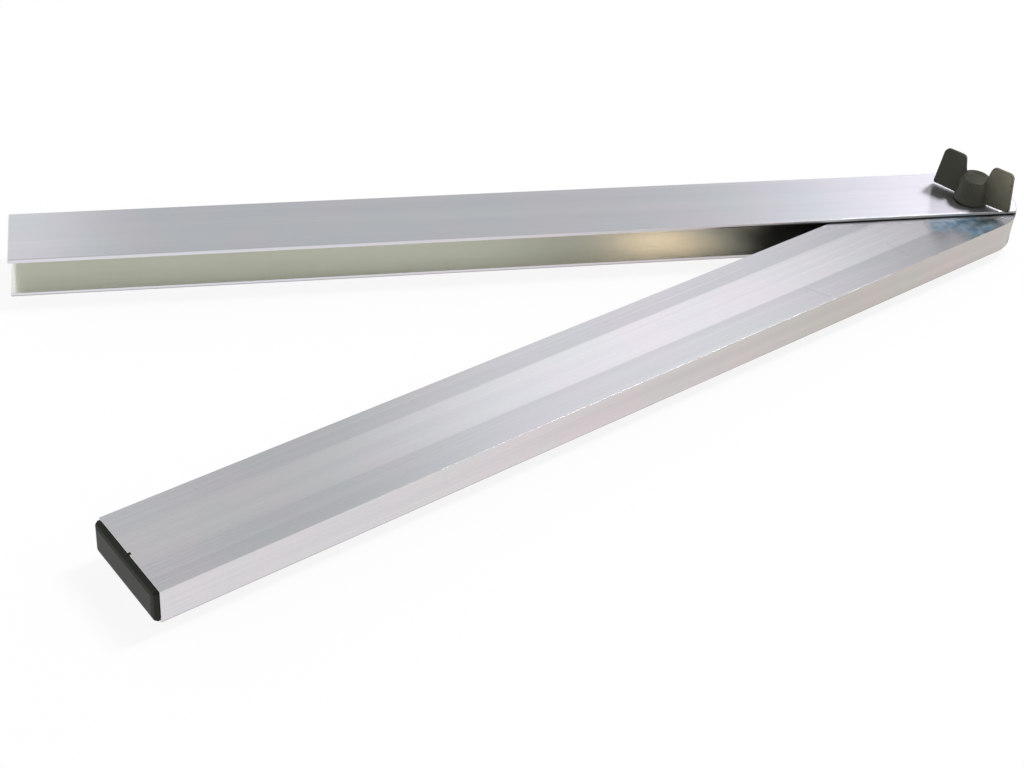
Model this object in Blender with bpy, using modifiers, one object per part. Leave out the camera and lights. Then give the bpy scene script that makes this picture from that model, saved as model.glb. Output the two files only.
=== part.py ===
"""Folding bevel: two long aluminium legs that turn on one bolt and are clamped by a wing nut.

The channel leg lies along X, with its far end at -X and its open side at -Y.
The tube leg folds into the channel. Both turn about the pivot, which is the Z axis.
The crown of the bolt's head is at z = 0. All lengths are in metres.
"""

import math

import bmesh
import bpy
from mathutils import Matrix

# Tube leg, a rectangular extrusion with its pivot end cut round
TUBE_WIDTH = 0.0600
TUBE_HEIGHT = 0.0200
TUBE_WALL = 0.0015
TUBE_REACH = 0.5965
LEG_ANGLE = math.radians(25.94)

# Channel leg, an open section that the tube leg folds into
FLANGE_THICKNESS = 0.0024
WEB_THICKNESS = 0.0020
CHANNEL_REACH = 0.5955
PIVOT_TO_OPEN_EDGE = 0.0157
FLANGE_END_RADIUS = 0.0295
BACK_CORNER_ANGLE = math.radians(45.0)

# Clearances: tube to flange, tube to web, bolt in its holes, and parts that seat on each other
SIDE_PLAY = 0.0003
WEB_PLAY = 0.0004
BORE_PLAY = 0.0003
SEAT_GAP = 0.0003

# Edges of the extrusions, broken by the die and by deburring
EXTRUSION_EDGE = 0.0004

# Pivot bolt with a low cup head and a square neck
BOLT_DIAMETER = 0.0080
BOLT_LENGTH = 0.0400
BOLT_TIP_CHAMFER = 0.0010
HEAD_DIAMETER = 0.0190
HEAD_HEIGHT = 0.0042
HEAD_RIM = 0.0008
HEAD_CROWN_DIAMETER = 0.0070

# Round-ended block that fills the tube at the pivot, so that clamping can't crush the tube
BLOCK_TAIL = 0.0260
BLOCK_POCKET_DEPTH = 0.0140
BLOCK_SKIN = 0.0022
BLOCK_RIB = 0.0050

# End cap of the tube leg, with a plug that goes inside
CAP_INSET = 0.0002
CAP_CORNER_RADIUS = 0.0020
CAP_RIM_THICKNESS = 0.0009
CAP_SHOULDER_WIDTH = 0.0011
CAP_SHOULDER_HEIGHT = 0.0016
CAP_SHOULDER_RADIUS = 0.0011
CAP_FACE_INSET = 0.0030
CAP_FACE_HEIGHT = 0.0022
CAP_FACE_RADIUS = 0.0006
PLUG_DEPTH = 0.0160
PLUG_WALL = 0.0018
PLUG_TAPER = 0.0010
NOTCH_WIDTH = 0.0018
NOTCH_DEPTH = 0.0012

# Flat washer, held in a recess under the wing nut
WASHER_DIAMETER = 0.0172
WASHER_THICKNESS = 0.0012
WASHER_CHAMFER = 0.0002

# Moulded wing nut
NUT_RIM_LIFT = 0.0004
HUB_HEIGHT = 0.0160
COLLAR_DIAMETER = 0.0216
COLLAR_HEIGHT = 0.0030
COLLAR_ROUND = 0.0007
HUB_BASE_DIAMETER = 0.0200
HUB_TOP_DIAMETER = 0.0188
HUB_ROUND = 0.0012
DISH_DIAMETER = 0.0128
DISH_DEPTH = 0.0007
HUB_CEILING = 0.0010
WING_ANGLE = math.radians(-49.8)
WING_SPAN = 0.0536
WING_TOP_SPAN = 0.0475
WING_GAP = 0.0190
WING_THROAT = 0.0156
WING_THROAT_DEPTH = 0.0085
WING_ROOT_SPAN = 0.0126
WING_ROOT_CLEARANCE = 0.0003
WING_TIP_CLEARANCE = 0.0012
WING_RISE = 0.0264
WING_THICKNESS = 0.0027
WING_EDGE_ROUND = 0.0008
WING_OUTER_ROUND = 0.0036
WING_INNER_ROUND = 0.0034
WING_THROAT_ROUND = 0.0060
WING_LOWER_ROUND = 0.0014

# Threaded metal insert, moulded into the nut
INSERT_DIAMETER = 0.0128
INSERT_LENGTH = 0.0095
INSERT_SIDES = 6

# Facets and cutting
END_STEPS = 36
ROUND_STEPS = 48
CORNER_STEPS = 5
SHARP_ANGLE = math.radians(30.0)
OVERRUN = 0.0100
WELD_DISTANCE = 0.000001

# Heights, from the bolt head up
CHANNEL_LOW = HEAD_HEIGHT + SEAT_GAP
LOWER_FLANGE_TOP = CHANNEL_LOW + FLANGE_THICKNESS
TUBE_LOW = LOWER_FLANGE_TOP + SIDE_PLAY
TUBE_TOP = TUBE_LOW + TUBE_HEIGHT
UPPER_FLANGE_LOW = TUBE_TOP + SIDE_PLAY
CHANNEL_TOP = UPPER_FLANGE_LOW + FLANGE_THICKNESS
WASHER_LOW = CHANNEL_TOP + SEAT_GAP
WASHER_TOP = WASHER_LOW + WASHER_THICKNESS
BOLT_TOP = HEAD_HEIGHT + BOLT_LENGTH
NUT_LOW = WASHER_LOW + NUT_RIM_LIFT
NUT_SEAT = WASHER_TOP + SEAT_GAP
HUB_TOP = NUT_LOW + HUB_HEIGHT
WING_LOW = NUT_LOW + WING_TIP_CLEARANCE

# Widths that follow from the sizes above
TUBE_RADIUS = TUBE_WIDTH / 2
WEB_INNER = TUBE_RADIUS + WEB_PLAY
WEB_OUTER = WEB_INNER + WEB_THICKNESS
BOLT_RADIUS = BOLT_DIAMETER / 2
BORE_RADIUS = BOLT_RADIUS + BORE_PLAY
TUBE_CAVITY_WIDTH = TUBE_WIDTH - 2 * TUBE_WALL
CAVITY_LOW = TUBE_LOW + TUBE_WALL
CAVITY_TOP = TUBE_TOP - TUBE_WALL


def clear_scene():
    """Remove every object that the scene starts with."""
    for item in list(bpy.data.objects):
        bpy.data.objects.remove(item, do_unlink=True)


def new_collection(name):
    """Collection of that name, linked to the scene."""
    collection = bpy.data.collections.new(name)
    bpy.context.scene.collection.children.link(collection)
    return collection


def material(name, color, roughness, metallic):
    """Principled material with a plain colour."""
    result = bpy.data.materials.new(name)
    result.use_nodes = True
    shader = result.node_tree.nodes["Principled BSDF"]
    shader.inputs["Base Color"].default_value = (*color, 1.0)
    shader.inputs["Roughness"].default_value = roughness
    shader.inputs["Metallic"].default_value = metallic
    return result


def mesh_from_bmesh(name, shape):
    """Mesh with outward faces, smooth where it is round."""
    bmesh.ops.recalc_face_normals(shape, faces=shape.faces)
    mesh = bpy.data.meshes.new(name)
    shape.to_mesh(mesh)
    shape.free()
    mesh.shade_smooth()
    mesh.set_sharp_from_angle(angle=SHARP_ANGLE)
    return mesh


def place(name, mesh, collection, parent=None):
    """Object made from a mesh, put in a collection and under its parent."""
    item = bpy.data.objects.new(name, mesh)
    collection.objects.link(item)
    item.parent = parent
    return item


def axis_empty(name, location, angle, collection):
    """Empty that stands on a joint's axis."""
    empty = bpy.data.objects.new(name, None)
    empty.location = location
    empty.rotation_euler = (0.0, 0.0, angle)
    collection.objects.link(empty)
    return empty


def arc(center, radius, start, end, steps):
    """Points along an arc, both ends included."""
    turn = (end - start) / steps
    return [
        (center[0] + radius * math.cos(start + turn * i), center[1] + radius * math.sin(start + turn * i))
        for i in range(steps + 1)
    ]


def rounded(corner, before, after, radius, steps):
    """Arc that rounds one corner of an outline, between its two neighbours."""
    to_before = math.atan2(before[1] - corner[1], before[0] - corner[0])
    to_after = math.atan2(after[1] - corner[1], after[0] - corner[0])
    half = ((to_after - to_before + math.pi) % (2 * math.pi) - math.pi) / 2
    middle = to_before + half
    reach = radius / math.sin(abs(half))
    center = (corner[0] + reach * math.cos(middle), corner[1] + reach * math.sin(middle))
    side = math.copysign(math.pi / 2, half)
    start = to_before - side
    end = to_after + side
    sweep = (end - start + math.pi) % (2 * math.pi) - math.pi
    return arc(center, radius, start, start + sweep, steps)


def extruded(name, outline, low, high):
    """Mesh of a flat outline raised between two heights."""
    curve = bpy.data.curves.new(name, "CURVE")
    curve.dimensions = "2D"
    curve.fill_mode = "BOTH"
    curve.extrude = (high - low) / 2
    spline = curve.splines.new("POLY")
    spline.points.add(len(outline) - 1)
    for point, (x, y) in zip(spline.points, outline):
        point.co = (x, y, 0.0, 1.0)
    spline.use_cyclic_u = True
    holder = bpy.data.objects.new(name, curve)
    bpy.context.scene.collection.objects.link(holder)
    graph = bpy.context.evaluated_depsgraph_get()
    flat = bpy.data.meshes.new_from_object(holder.evaluated_get(graph))
    bpy.data.objects.remove(holder, do_unlink=True)
    shape = bmesh.new()
    shape.from_mesh(flat)
    bpy.data.meshes.remove(flat)
    bmesh.ops.remove_doubles(shape, verts=shape.verts, dist=WELD_DISTANCE)
    bmesh.ops.dissolve_limit(shape, angle_limit=WELD_DISTANCE, verts=shape.verts, edges=shape.edges)
    bmesh.ops.translate(shape, verts=shape.verts, vec=(0.0, 0.0, (low + high) / 2))
    return mesh_from_bmesh(name, shape)


def box(name, low, high):
    """Mesh of a box between two corners."""
    shape = bmesh.new()
    bmesh.ops.create_cube(shape, size=1.0)
    middle = [(a + b) / 2 for a, b in zip(low, high)]
    size = [b - a for a, b in zip(low, high)]
    bmesh.ops.transform(shape, verts=shape.verts, matrix=Matrix.LocRotScale(middle, None, size))
    return mesh_from_bmesh(name, shape)


def cylinder(name, radius, low, high, sides=ROUND_STEPS):
    """Mesh of an upright cylinder or prism on the pivot."""
    shape = bmesh.new()
    bmesh.ops.create_cone(
        shape, cap_ends=True, segments=sides, radius1=radius, radius2=radius, depth=high - low
    )
    bmesh.ops.translate(shape, verts=shape.verts, vec=(0.0, 0.0, (low + high) / 2))
    return mesh_from_bmesh(name, shape)


def turned(name, profile, collection, parent=None, closed=False):
    """Object turned about the pivot from a profile of radii and heights, outer side top to bottom."""
    mesh = bpy.data.meshes.new(name)
    edges = [(i, i + 1) for i in range(len(profile) - 1)]
    if closed:
        edges.append((len(profile) - 1, 0))
    mesh.from_pydata([(radius, 0.0, height) for radius, height in profile], edges, [])
    item = place(name, mesh, collection, parent)
    screw = item.modifiers.new("turn", "SCREW")
    screw.steps = ROUND_STEPS
    screw.render_steps = ROUND_STEPS
    screw.use_merge_vertices = True
    screw.merge_threshold = WELD_DISTANCE
    screw.use_smooth_shade = False
    return item


def soften(item, width, segments):
    """Round the edges of an object."""
    bevel = item.modifiers.new("edges", "BEVEL")
    bevel.width = width
    bevel.segments = segments
    bevel.limit_method = "ANGLE"
    bevel.angle_limit = SHARP_ANGLE
    bevel.use_clamp_overlap = True


def combine(item, tool, operation):
    """Cut a tool out of an object, or join it on."""
    tool.hide_render = True
    tool.display_type = "WIRE"
    change = item.modifiers.new(tool.name, "BOOLEAN")
    change.operation = operation
    change.solver = "EXACT"
    change.object = tool


def channel_outline():
    """Outline of the channel seen from above, with its pivot end rounded and its back corner cut."""
    front_angle = -math.asin(PIVOT_TO_OPEN_EDGE / FLANGE_END_RADIUS)
    end = arc((0.0, 0.0), FLANGE_END_RADIUS, front_angle, BACK_CORNER_ANGLE, END_STEPS // 2)
    last_x, last_y = end[-1]
    back_x = last_x - (WEB_OUTER - last_y) * math.tan(BACK_CORNER_ANGLE)
    far = [(back_x, WEB_OUTER), (-CHANNEL_REACH, WEB_OUTER), (-CHANNEL_REACH, -PIVOT_TO_OPEN_EDGE)]
    return end + far


def make_channel_leg(parts, cutters, finish):
    """Channel with two flanges and a web, drilled above and punched square below."""
    mesh = extruded("channel_leg", channel_outline(), CHANNEL_LOW, CHANNEL_TOP)
    leg = place("channel_leg", mesh, parts)
    soften(leg, EXTRUSION_EDGE, 1)
    slot = box(
        "channel_slot",
        (-CHANNEL_REACH - OVERRUN, -PIVOT_TO_OPEN_EDGE - OVERRUN, LOWER_FLANGE_TOP),
        (FLANGE_END_RADIUS + OVERRUN, WEB_INNER, UPPER_FLANGE_LOW),
    )
    combine(leg, place("channel_slot", slot, cutters), "DIFFERENCE")
    round_hole = cylinder("upper_flange_hole", BORE_RADIUS, TUBE_TOP, CHANNEL_TOP + OVERRUN)
    combine(leg, place("upper_flange_hole", round_hole, cutters), "DIFFERENCE")
    square_hole = box(
        "square_hole",
        (-BORE_RADIUS, -BORE_RADIUS, CHANNEL_LOW - OVERRUN),
        (BORE_RADIUS, BORE_RADIUS, TUBE_LOW),
    )
    combine(leg, place("square_hole", square_hole, cutters), "DIFFERENCE")
    leg.data.materials.append(finish)
    return leg


def make_tube_leg(parts, cutters, pivot, finish):
    """Rectangular tube with a full-round pivot end, bolt holes and a notch for the cap's key."""
    end = arc((0.0, 0.0), TUBE_RADIUS, -math.pi / 2, math.pi / 2, END_STEPS)
    outline = end + [(-TUBE_REACH, TUBE_RADIUS), (-TUBE_REACH, -TUBE_RADIUS)]
    leg = place("tube_leg", extruded("tube_leg", outline, TUBE_LOW, TUBE_TOP), parts, pivot)
    soften(leg, EXTRUSION_EDGE, 1)
    half_cavity = TUBE_CAVITY_WIDTH / 2
    cavity = box(
        "tube_cavity",
        (-TUBE_REACH - OVERRUN, -half_cavity, CAVITY_LOW),
        (TUBE_RADIUS + OVERRUN, half_cavity, CAVITY_TOP),
    )
    combine(leg, place("tube_cavity", cavity, cutters, pivot), "DIFFERENCE")
    hole = cylinder("tube_hole", BORE_RADIUS, LOWER_FLANGE_TOP, UPPER_FLANGE_LOW)
    combine(leg, place("tube_hole", hole, cutters, pivot), "DIFFERENCE")
    notch = box(
        "cap_notch",
        (-TUBE_REACH - OVERRUN, -NOTCH_WIDTH / 2, CAVITY_TOP - SEAT_GAP),
        (-TUBE_REACH + NOTCH_DEPTH, NOTCH_WIDTH / 2, TUBE_TOP + OVERRUN),
    )
    combine(leg, place("cap_notch", notch, cutters, pivot), "DIFFERENCE")
    leg.data.materials.append(finish)
    return leg


def make_pivot_block(parts, cutters, pivot, finish):
    """Moulded block inside the tube's round end, bored for the bolt and cored from behind."""
    half_width = TUBE_CAVITY_WIDTH / 2 - SEAT_GAP
    radius = TUBE_RADIUS - SEAT_GAP
    low = CAVITY_LOW + SEAT_GAP
    top = CAVITY_TOP - SEAT_GAP
    reach = math.asin(half_width / radius)
    outline = arc((0.0, 0.0), radius, -reach, reach, END_STEPS)
    outline += [(-BLOCK_TAIL, half_width), (-BLOCK_TAIL, -half_width)]
    block = place("pivot_block", extruded("pivot_block", outline, low, top), parts, pivot)
    bore = cylinder("block_bore", BORE_RADIUS, low - OVERRUN, top + OVERRUN)
    combine(block, place("block_bore", bore, cutters, pivot), "DIFFERENCE")
    for side, name in ((-1, "block_pocket_front"), (1, "block_pocket_back")):
        edges = sorted((side * BLOCK_RIB / 2, side * (half_width - BLOCK_SKIN)))
        pocket = box(
            name,
            (-BLOCK_TAIL - OVERRUN, edges[0], low + BLOCK_SKIN),
            (-BLOCK_TAIL + BLOCK_POCKET_DEPTH, edges[1], top - BLOCK_SKIN),
        )
        combine(block, place(name, pocket, cutters, pivot), "DIFFERENCE")
    block.data.materials.append(finish)
    return block


def plate_ring(shape, x, inset, radius):
    """Ring of vertices across the tube's end at one x: the tube's outline, inset, with rounded corners."""
    reach = TUBE_RADIUS - inset - radius
    low = TUBE_LOW + inset + radius
    high = TUBE_TOP - inset - radius
    points = []
    for quarter, center in enumerate(((reach, high), (-reach, high), (-reach, low), (reach, low))):
        start = quarter * math.pi / 2
        points += arc(center, radius, start, start + math.pi / 2, CORNER_STEPS)
    return [shape.verts.new((x, y, z)) for y, z in points]


def cap_plate():
    """Outer plate of the end cap: rounded corners, a thin rim, full shoulders and a raised face."""
    rear = -TUBE_REACH - SEAT_GAP
    rim = rear - CAP_RIM_THICKNESS
    shape = bmesh.new()
    rings = [
        plate_ring(shape, rear, CAP_INSET, CAP_CORNER_RADIUS),
        plate_ring(shape, rim, CAP_INSET, CAP_CORNER_RADIUS),
        plate_ring(shape, rim - CAP_SHOULDER_HEIGHT, CAP_INSET + CAP_SHOULDER_WIDTH, CAP_SHOULDER_RADIUS),
        plate_ring(shape, rim - CAP_FACE_HEIGHT, CAP_INSET + CAP_FACE_INSET, CAP_FACE_RADIUS),
    ]
    for first, second in zip(rings, rings[1:]):
        for i in range(len(first)):
            shape.faces.new((first[i - 1], first[i], second[i], second[i - 1]))
    shape.faces.new(rings[0])
    shape.faces.new(rings[-1])
    return mesh_from_bmesh("end_cap", shape)


def make_end_cap(parts, cutters, pivot, finish):
    """End cap: plate, hollow plug with a middle rib, and a key that fills the tube's notch."""
    cap = place("end_cap", cap_plate(), parts, pivot)
    rear = -TUBE_REACH - SEAT_GAP
    half_width = TUBE_CAVITY_WIDTH / 2 - SEAT_GAP
    low = CAVITY_LOW + SEAT_GAP
    top = CAVITY_TOP - SEAT_GAP
    overlap = CAP_RIM_THICKNESS / 2
    plug = place(
        "cap_plug",
        box("cap_plug", (rear - overlap, -half_width, low), (rear + PLUG_DEPTH, half_width, top)),
        cutters,
        pivot,
    )
    for vertex in plug.data.vertices:
        if vertex.co.x > rear:
            vertex.co.y -= math.copysign(PLUG_TAPER, vertex.co.y)
    key_side = NOTCH_WIDTH / 2 - SEAT_GAP
    key = place(
        "cap_key",
        box(
            "cap_key",
            (rear - overlap, -key_side, top - PLUG_WALL / 2),
            (-TUBE_REACH + NOTCH_DEPTH - SEAT_GAP, key_side, TUBE_TOP),
        ),
        cutters,
        pivot,
    )
    combine(cap, plug, "UNION")
    combine(cap, key, "UNION")
    for side, name in ((-1, "plug_hollow_front"), (1, "plug_hollow_back")):
        edges = sorted((side * PLUG_WALL / 2, side * (half_width - PLUG_WALL - PLUG_TAPER)))
        hollow = box(
            name,
            (rear + PLUG_WALL, edges[0], low + PLUG_WALL),
            (rear + PLUG_DEPTH + OVERRUN, edges[1], top - PLUG_WALL),
        )
        combine(cap, place(name, hollow, cutters, pivot), "DIFFERENCE")
    cap.data.materials.append(finish)
    return cap


def make_pivot_bolt(parts, cutters, finish):
    """Cup-head bolt: a domed head with a flat crown, a square neck and a chamfered shank."""
    head_radius = HEAD_DIAMETER / 2
    crown_radius = HEAD_CROWN_DIAMETER / 2
    tip_radius = BOLT_RADIUS - BOLT_TIP_CHAMFER
    dome = [
        (
            crown_radius + (head_radius - crown_radius) * math.cos(angle),
            (HEAD_HEIGHT - HEAD_RIM) * (1 - math.sin(angle)),
        )
        for angle in (i * math.pi / 2 / CORNER_STEPS for i in range(CORNER_STEPS + 1))
    ]
    shank = [
        (0.0, BOLT_TOP),
        (tip_radius, BOLT_TOP),
        (BOLT_RADIUS, BOLT_TOP - BOLT_TIP_CHAMFER),
        (BOLT_RADIUS, HEAD_HEIGHT),
        (head_radius, HEAD_HEIGHT),
    ]
    bolt = turned("pivot_bolt", shank + dome + [(0.0, 0.0)], parts)
    neck = box(
        "square_neck",
        (-BOLT_RADIUS, -BOLT_RADIUS, HEAD_HEIGHT - HEAD_RIM / 2),
        (BOLT_RADIUS, BOLT_RADIUS, LOWER_FLANGE_TOP),
    )
    combine(bolt, place("square_neck", neck, cutters), "UNION")
    bolt.data.materials.append(finish)
    return bolt


def make_flat_washer(parts, axis, finish):
    """Steel washer with broken outer edges."""
    outer = WASHER_DIAMETER / 2
    profile = [
        (BORE_RADIUS, WASHER_TOP),
        (outer - WASHER_CHAMFER, WASHER_TOP),
        (outer, WASHER_TOP - WASHER_CHAMFER),
        (outer, WASHER_LOW + WASHER_CHAMFER),
        (outer - WASHER_CHAMFER, WASHER_LOW),
        (BORE_RADIUS, WASHER_LOW),
    ]
    washer = turned("flat_washer", profile, parts, axis, closed=True)
    washer.data.materials.append(finish)
    return washer


def shoulder(radius, height, size):
    """Quarter round on a turned profile's outer top edge."""
    return arc((radius - size, height - size), size, math.pi / 2, 0.0, CORNER_STEPS)


def hub_profile():
    """Profile of the nut's hub: dished top, slightly tapered body and a collar at the foot."""
    collar_radius = COLLAR_DIAMETER / 2
    collar_top = NUT_LOW + COLLAR_HEIGHT
    dish_radius = DISH_DIAMETER / 2
    dish_low = HUB_TOP - DISH_DEPTH
    dish = [(0.0, dish_low), (dish_radius - DISH_DEPTH, dish_low), (dish_radius, HUB_TOP)]
    body = shoulder(HUB_TOP_DIAMETER / 2, HUB_TOP, HUB_ROUND) + [(HUB_BASE_DIAMETER / 2, collar_top)]
    collar = shoulder(collar_radius, collar_top, COLLAR_ROUND)
    return dish + body + collar + [(collar_radius, NUT_LOW), (0.0, NUT_LOW)]


def wing_outline():
    """Outline of one wing, as distances from the axis and heights."""
    high = WING_LOW + WING_RISE
    root = HUB_TOP_DIAMETER / 4
    root_low = (root, NUT_LOW + WING_ROOT_CLEARANCE)
    tip_low = (WING_SPAN / 2, WING_LOW)
    tip_high = (WING_TOP_SPAN / 2, high)
    inner_high = (WING_GAP / 2, high)
    throat = (WING_THROAT / 2, high - WING_THROAT_DEPTH)
    inner_low = (WING_ROOT_SPAN / 2, HUB_TOP - HUB_ROUND)
    points = [root_low]
    points += rounded(tip_low, root_low, tip_high, WING_LOWER_ROUND, CORNER_STEPS)
    points += rounded(tip_high, tip_low, inner_high, WING_OUTER_ROUND, CORNER_STEPS)
    points += rounded(inner_high, tip_high, throat, WING_INNER_ROUND, CORNER_STEPS)
    points += rounded(throat, inner_high, inner_low, WING_THROAT_ROUND, CORNER_STEPS)
    points += [inner_low, (root, HUB_TOP - HUB_ROUND)]
    return points


def make_wing(name, angle, cutters, axis):
    """One wing, an upright plate that grows out of the hub."""
    mesh = extruded(name, wing_outline(), -WING_THICKNESS / 2, WING_THICKNESS / 2)
    upright = Matrix.Rotation(math.pi / 2, 4, "X")
    mesh.transform(Matrix.Rotation(angle, 4, "Z") @ upright)
    wing = place(name, mesh, cutters, axis)
    soften(wing, WING_EDGE_ROUND, 2)
    return wing


def make_wing_nut(parts, cutters, axis, finish):
    """Moulded nut: hub with two wings, a washer recess below and a blind pocket for its insert."""
    nut = turned("wing_nut", hub_profile(), parts, axis)
    combine(nut, make_wing("front_wing", WING_ANGLE, cutters, axis), "UNION")
    combine(nut, make_wing("back_wing", WING_ANGLE + math.pi, cutters, axis), "UNION")
    recess = cylinder("washer_recess", WASHER_DIAMETER / 2 + BORE_PLAY, NUT_LOW - OVERRUN, NUT_SEAT)
    combine(nut, place("washer_recess", recess, cutters, axis), "DIFFERENCE")
    pocket_radius = INSERT_DIAMETER / 2 + SEAT_GAP
    pocket_top = NUT_SEAT + INSERT_LENGTH + SEAT_GAP
    pocket = cylinder("insert_pocket", pocket_radius, NUT_LOW, pocket_top, INSERT_SIDES)
    combine(nut, place("insert_pocket", pocket, cutters, axis), "DIFFERENCE")
    ceiling = HUB_TOP - DISH_DEPTH - HUB_CEILING
    bore = cylinder("nut_bore", BORE_RADIUS, NUT_LOW, ceiling)
    combine(nut, place("nut_bore", bore, cutters, axis), "DIFFERENCE")
    nut.data.materials.append(finish)
    return nut


def make_nut_insert(parts, cutters, axis, finish):
    """Six-sided metal insert that carries the nut's thread."""
    top = NUT_SEAT + INSERT_LENGTH
    body = cylinder("nut_insert", INSERT_DIAMETER / 2, NUT_SEAT, top, INSERT_SIDES)
    insert = place("nut_insert", body, parts, axis)
    bore = cylinder("insert_bore", BORE_RADIUS, NUT_SEAT - OVERRUN, top + OVERRUN)
    combine(insert, place("insert_bore", bore, cutters, axis), "DIFFERENCE")
    insert.data.materials.append(finish)
    return insert


def main():
    """Build the bevel, leg by leg, then its clamp."""
    clear_scene()
    parts = new_collection("folding_bevel")
    cutters = new_collection("folding_bevel_cutters")
    anodised = material("extruded_aluminium", (0.62, 0.62, 0.64), 0.35, 1.0)
    black = material("black_moulded_plastic", (0.018, 0.019, 0.017), 0.45, 0.0)
    grey = material("grey_moulded_plastic", (0.45, 0.44, 0.42), 0.55, 0.0)
    zinc = material("zinc_plated_steel", (0.60, 0.60, 0.58), 0.30, 1.0)
    brass = material("turned_brass", (0.72, 0.53, 0.25), 0.30, 1.0)
    pivot = axis_empty("blade_axis", (0.0, 0.0, 0.0), LEG_ANGLE, parts)
    nut_axis = axis_empty("nut_axis", (0.0, 0.0, 0.0), 0.0, parts)
    make_channel_leg(parts, cutters, anodised)
    make_tube_leg(parts, cutters, pivot, anodised)
    make_pivot_block(parts, cutters, pivot, grey)
    make_end_cap(parts, cutters, pivot, black)
    make_pivot_bolt(parts, cutters, zinc)
    make_flat_washer(parts, nut_axis, zinc)
    make_wing_nut(parts, cutters, nut_axis, black)
    make_nut_insert(parts, cutters, nut_axis, brass)


main()
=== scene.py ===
"""Looks of the folding bevel: finishes, soft edges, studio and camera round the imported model."""

from __future__ import annotations

import logging
import math
from dataclasses import dataclass
from enum import Enum

import bmesh
import bpy
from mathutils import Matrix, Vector

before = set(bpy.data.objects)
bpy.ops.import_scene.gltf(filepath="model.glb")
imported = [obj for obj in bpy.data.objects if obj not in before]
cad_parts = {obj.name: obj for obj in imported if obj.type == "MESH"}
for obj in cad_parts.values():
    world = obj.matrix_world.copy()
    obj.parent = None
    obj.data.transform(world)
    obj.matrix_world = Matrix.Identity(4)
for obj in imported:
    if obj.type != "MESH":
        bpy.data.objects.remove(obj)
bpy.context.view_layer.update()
LOG = logging.getLogger("folding_bevel")

MM = 0.001
TUBE_HEADING = 25.94

COORDINATES = "ShaderNodeTexCoord"
MATH = "ShaderNodeMath"
VECTOR_MATH = "ShaderNodeVectorMath"
RANGE = "ShaderNodeMapRange"
MIX = "ShaderNodeMix"
MIX_SHADER = "ShaderNodeMixShader"
NOISE = "ShaderNodeTexNoise"
BUMP = "ShaderNodeBump"
SPLIT = "ShaderNodeSeparateXYZ"
PRINCIPLED = "ShaderNodeBsdfPrincipled"
LIGHT_PATH = "ShaderNodeLightPath"

Tree = bpy.types.NodeTree
Socket = bpy.types.NodeSocket
Point = tuple[float, float, float]


class Slot(Enum):
    """Material slots of the record."""

    ALUMINIUM = "aluminium"
    BLACK_PLASTIC = "black_plastic"
    GREY_PLASTIC = "grey_plastic"
    ZINC_STEEL = "zinc_steel"
    BRASS = "brass"


def linear(code: str) -> tuple[float, float, float, float]:
    """Turn an sRGB hex colour into linear light.

    Args:
        code: Colour as "#rrggbb".

    Returns:
        Red, green, blue and an opaque alpha.
    """
    shares = [int(code[i : i + 2], 16) / 255 for i in (1, 3, 5)]
    light = [s / 12.92 if s <= 0.04045 else ((s + 0.055) / 1.055) ** 2.4 for s in shares]
    return (*light, 1.0)


def grey(level: float) -> tuple[float, float, float, float]:
    """Neutral colour of one linear level."""
    return (level, level, level, 1.0)


def per_metre(size_mm: float) -> float:
    """Scale of a pattern whose cells have the given size."""
    return 1.0 / (size_mm * MM)


def add_node(tree: Tree, kind: str, sockets: dict | None = None, **settings) -> bpy.types.Node:
    """Add a shader node with its settings, values and links.

    Args:
        tree: Node tree that gets the node.
        kind: Blender's type name of the node.
        sockets: Input name or number to a value, or to the output that feeds it.
        **settings: Properties of the node; stops are the colours of a ramp.

    Returns:
        The new node.
    """
    node = tree.nodes.new(kind)
    for name, value in settings.items():
        if name == "stops":
            ramp = node.color_ramp.elements
            while len(ramp) < len(value):
                ramp.new(0.5)
            for stop, (place, colour) in zip(ramp, value):
                stop.position = place
                stop.color = colour
        else:
            setattr(node, name, value)
    for key, value in (sockets or {}).items():
        if isinstance(value, Socket):
            tree.links.new(value, node.inputs[key])
        else:
            node.inputs[key].default_value = value
    return node


def new_finish(name: str) -> tuple[bpy.types.Material, Tree, bpy.types.Node]:
    """Start a material with its Principled node.

    Args:
        name: What the surface is made of and how it was made.

    Returns:
        The material, its node tree and its Principled node.
    """
    result = bpy.data.materials.new(name)
    result.use_nodes = True
    tree = result.node_tree
    return result, tree, tree.nodes["Principled BSDF"]


def leg_space(tree: Tree, heading: float) -> Socket:
    """Coordinates of one leg in metres: X along it, Y across it to the back, Z up.

    Args:
        tree: Node tree of the material.
        heading: Direction of the leg in degrees.

    Returns:
        The coordinates.
    """
    place = add_node(tree, COORDINATES).outputs["Object"]
    turn = (0.0, 0.0, -math.radians(heading))
    return add_node(tree, "ShaderNodeMapping", {"Vector": place, "Rotation": turn}).outputs[0]


def streaks(tree: Tree, leg: Socket, width_mm: float, runs: float) -> Socket:
    """Noise drawn out along the leg.

    Args:
        tree: Node tree of the material.
        leg: Coordinates with X along the leg.
        width_mm: Width of one streak.
        runs: Changes of the streak in each metre of length.

    Returns:
        A value from 0 to 1.
    """
    scale = (runs, per_metre(width_mm), per_metre(width_mm))
    drawn = add_node(tree, VECTOR_MATH, {0: leg, 1: scale}, operation="MULTIPLY").outputs[0]
    noise = add_node(
        tree, NOISE, {"Vector": drawn, "Scale": 1.0, "Detail": 3.0, "Roughness": 0.6}
    ).outputs["Fac"]
    return add_node(tree, RANGE, {"Value": noise, "From Min": 0.25, "From Max": 0.75}).outputs[0]


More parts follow.
